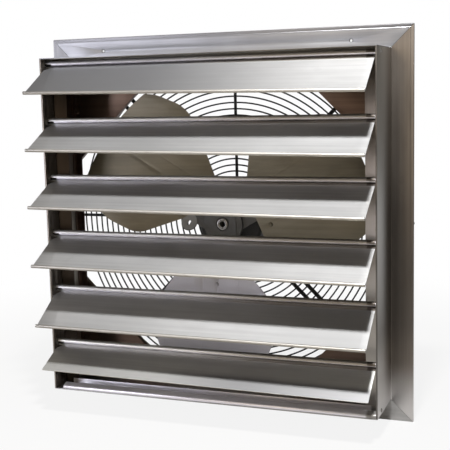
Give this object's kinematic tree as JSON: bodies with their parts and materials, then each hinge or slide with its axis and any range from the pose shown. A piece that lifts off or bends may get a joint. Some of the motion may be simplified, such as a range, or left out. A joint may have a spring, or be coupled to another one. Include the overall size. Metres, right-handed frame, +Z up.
{
  "type": "exhaust fan",
  "caption": "Square aluminium wall exhaust fan with a gravity louvre shutter in front, a broad-bladed fan on a direct-drive motor and a black wire guard behind.",
  "frame": {"origin": "where the fan axis meets the front of the mounting flange, which bears on the wall, at the centre of the fixing holes", "axes": "+X right seen from the outlet, +Y along the fan axis from the outlet into the building, +Z up"},
  "size_m": [0.742, 0.3433, 0.742],
  "materials": {
    "case_aluminium": "mill finish, rolled",
    "louvre_aluminium": "mill finish, rolled",
    "blade_aluminium": "mill finish, dull",
    "rivet_aluminium": "satin",
    "bright_steel": "machined",
    "dark_steel": "black oxide",
    "core_steel": "laminated",
    "guard_black": "satin black",
    "spider_grey": "satin dark grey",
    "motor_paint": "satin",
    "bush_nylon": "natural",
    "gland_plastic": "matt"
  },
  "bodies": {
    "housing": {"cable_gland": "gland_plastic", "corner_gusset_bottom_left": "case_aluminium", "corner_gusset_bottom_right": "case_aluminium", "corner_gusset_top_left": "case_aluminium", "corner_gusset_top_right": "case_aluminium", "front_bearing": "bright_steel", "guard_rings": "guard_black", "guard_spokes": "guard_black", "gusset_rivets": "rivet_aluminium", "housing_bottom": "case_aluminium", "housing_left": "case_aluminium", "housing_right": "case_aluminium", "housing_top": "case_aluminium", "motor_band": "motor_paint", "motor_front_bell": "motor_paint", "motor_rear_bell": "motor_paint", "motor_shell": "motor_paint", "motor_stator": "core_steel", "motor_struts_bottom_left": "guard_black", "motor_struts_bottom_right": "guard_black", "motor_struts_top_left": "guard_black", "motor_struts_top_right": "guard_black", "pivot_bushes": "bush_nylon", "rear_angle_bottom": "case_aluminium", "rear_angle_left": "case_aluminium", "rear_angle_right": "case_aluminium", "rear_angle_top": "case_aluminium", "rear_bearing": "bright_steel", "shutter_header": "case_aluminium", "shutter_jamb_left": "case_aluminium", "shutter_jamb_right": "case_aluminium", "shutter_rivets": "rivet_aluminium", "shutter_sill": "case_aluminium"},
    "fan": {"fan_shaft": "bright_steel", "motor_rotor": "core_steel", "hub_boss": "bright_steel", "hub_set_screw": "dark_steel", "fan_spider": "spider_grey", "fan_blade_1": "blade_aluminium", "fan_blade_2": "blade_aluminium", "fan_blade_3": "blade_aluminium", "blade_rivets": "rivet_aluminium"},
    "louvre_1": {"louvre_1": "louvre_aluminium", "louvre_rod_1": "bright_steel"},
    "louvre_2": {"louvre_2": "louvre_aluminium", "louvre_rod_2": "bright_steel"},
    "louvre_3": {"louvre_3": "louvre_aluminium", "louvre_rod_3": "bright_steel"},
    "louvre_4": {"louvre_4": "louvre_aluminium", "louvre_rod_4": "bright_steel"},
    "louvre_5": {"louvre_5": "louvre_aluminium", "louvre_rod_5": "bright_steel"},
    "louvre_6": {"louvre_6": "louvre_aluminium", "louvre_rod_6": "bright_steel"}
  },
  "joints": [
    {"name": "fan_spin", "type": "hinge", "parent": "housing", "child": "fan", "pos_m": [0, 0, 0], "axis": [0, 1, 0], "continuous": true},
    {"name": "louvre_1_swing", "type": "hinge", "parent": "housing", "child": "louvre_1", "pos_m": [0, -0.109, 0.3185], "axis": [-1, 0, 0], "range_deg": [-48.5, 29.5]},
    {"name": "louvre_2_swing", "type": "hinge", "parent": "housing", "child": "louvre_2", "pos_m": [0, -0.109, 0.208], "axis": [-1, 0, 0], "range_deg": [-50.5, 27.5]},
    {"name": "louvre_3_swing", "type": "hinge", "parent": "housing", "child": "louvre_3", "pos_m": [0, -0.109, 0.0975], "axis": [-1, 0, 0], "range_deg": [-52.5, 25.5]},
    {"name": "louvre_4_swing", "type": "hinge", "parent": "housing", "child": "louvre_4", "pos_m": [0, -0.109, -0.013], "axis": [-1, 0, 0], "range_deg": [-51, 27]},
    {"name": "louvre_5_swing", "type": "hinge", "parent": "housing", "child": "louvre_5", "pos_m": [0, -0.109, -0.1235], "axis": [-1, 0, 0], "range_deg": [-47, 31]},
    {"name": "louvre_6_swing", "type": "hinge", "parent": "housing", "child": "louvre_6", "pos_m": [0, -0.109, -0.234], "axis": [-1, 0, 0], "range_deg": [-51.5, 26.5]}
  ]
}
